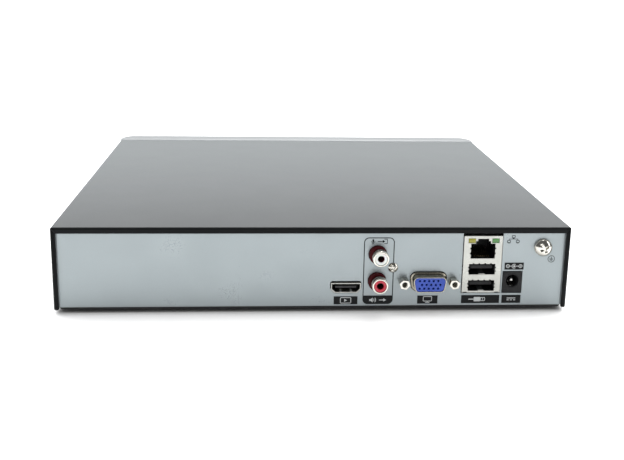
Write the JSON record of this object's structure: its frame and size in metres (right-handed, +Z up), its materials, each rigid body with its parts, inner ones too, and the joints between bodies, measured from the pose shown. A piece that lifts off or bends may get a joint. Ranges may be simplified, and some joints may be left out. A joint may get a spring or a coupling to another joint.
{
  "type": "video recorder",
  "caption": "Small desktop video recorder: lift-off steel cover, rear socket panel, internal hard drive and main board, plastic front bezel.",
  "frame": {"origin": "centre of the bounding box's base, on the surface that the rubber feet stand on", "axes": "+Z up, +Y towards the front bezel, so the rear socket panel faces -Y and +X is to the right of someone looking at the sockets"},
  "size_m": [0.255, 0.247, 0.044],
  "materials": {
    "black_steel": "fine textured satin",
    "silver_panel": "satin",
    "bezel_plastic": "satin",
    "smoked_window": "polished",
    "light_guide": "polished",
    "circuit_board": "solder mask",
    "chip_epoxy": "matte",
    "nickel_plate": "nickel plated",
    "tin_plate": "tin plated",
    "black_plastic": "satin",
    "white_plastic": "satin",
    "red_plastic": "satin",
    "dark_red_plastic": "satin",
    "blue_plastic": "satin",
    "yellow_lens": "translucent",
    "green_lens": "translucent",
    "led_lens": "translucent",
    "rubber": "matte",
    "ribbon": "satin",
    "red_cable": "satin",
    "wire_sleeve": "satin",
    "brass": "plated",
    "heatsink_metal": "black anodised",
    "can_metal": "satin",
    "ferrite": "matte",
    "cast_metal": "cast",
    "lid_metal": "brushed",
    "disc_metal": "polished",
    "cell_metal": "bright",
    "panel_print": "ink"
  },
  "bodies": {
    "case": {"chassis": "black_steel", "rear_panel": "silver_panel", "cover_screws": "nickel_plate", "front_bezel": "bezel_plastic", "bezel_screws": "nickel_plate", "front_window": "smoked_window", "light_pipes": "light_guide", "front_board": "circuit_board", "status_leds": "led_lens", "ir_receiver": "chip_epoxy", "front_cable": "ribbon", "rubber_feet": "rubber", "panel_labels": "panel_print", "main_board": "circuit_board", "board_standoffs": "brass", "board_screws": "nickel_plate", "processor": "chip_epoxy", "heatsink": "heatsink_metal", "memory_chips": "chip_epoxy", "small_chips": "chip_epoxy", "inductors": "ferrite", "capacitors": "can_metal", "cell_holder": "black_plastic", "clock_cell": "cell_metal", "buzzer": "black_plastic", "board_headers": "white_plastic", "video_shell": "tin_plate", "video_tongue": "black_plastic", "audio_block": "dark_red_plastic", "audio_barrels": "nickel_plate", "audio_in_ring": "white_plastic", "audio_out_ring": "red_plastic", "audio_screw": "nickel_plate", "monitor_block": "black_plastic", "monitor_shell": "nickel_plate", "monitor_insert": "blue_plastic", "jackscrews": "nickel_plate", "socket_cage": "tin_plate", "socket_core": "black_plastic", "lan_contacts": "brass", "lan_led_yellow": "yellow_lens", "lan_led_green": "green_lens", "port_tongues": "black_plastic", "power_jack": "black_plastic", "power_pin": "nickel_plate", "ground_nut": "nickel_plate", "drive_base": "cast_metal", "drive_lid": "lid_metal", "drive_magnets": "nickel_plate", "drive_board": "circuit_board", "drive_spacers": "rubber", "drive_screws": "nickel_plate", "data_cable": "red_cable", "power_cable": "wire_sleeve", "cable_plugs": "black_plastic"},
    "cover": {"top_cover": "black_steel"},
    "washer": {"ground_washer": "nickel_plate"},
    "screw": {"ground_screw": "nickel_plate"},
    "platters": {"drive_platters": "disc_metal"},
    "head_arm": {"drive_arm": "can_metal"}
  },
  "joints": [
    {"name": "cover_lift", "type": "slide", "parent": "case", "child": "cover", "axis": [0, 0, 1], "range_m": [0, 0.09]},
    {"name": "ground_slide", "type": "slide", "parent": "case", "child": "washer", "axis": [0, -1, 0], "range_m": [0, 0.0021]},
    {"name": "ground_turn", "type": "hinge", "parent": "washer", "child": "screw", "pos_m": [0.1138, -0.1152, 0.0334], "axis": [0, -1, 0], "range_deg": [0, 1080]},
    {"name": "platter_spin", "type": "hinge", "parent": "case", "child": "platters", "pos_m": [-0.0698, 0.024, 0.02], "axis": [0, 0, 1], "continuous": true},
    {"name": "arm_swing", "type": "hinge", "parent": "case", "child": "head_arm", "pos_m": [-0.0486, -0.029, 0.018], "axis": [0, 0, -1], "range_deg": [0, 28]}
  ],
  "couplings": [
    {"joint": "ground_turn", "follows": "ground_slide", "rad_per_m": 8976}
  ]
}
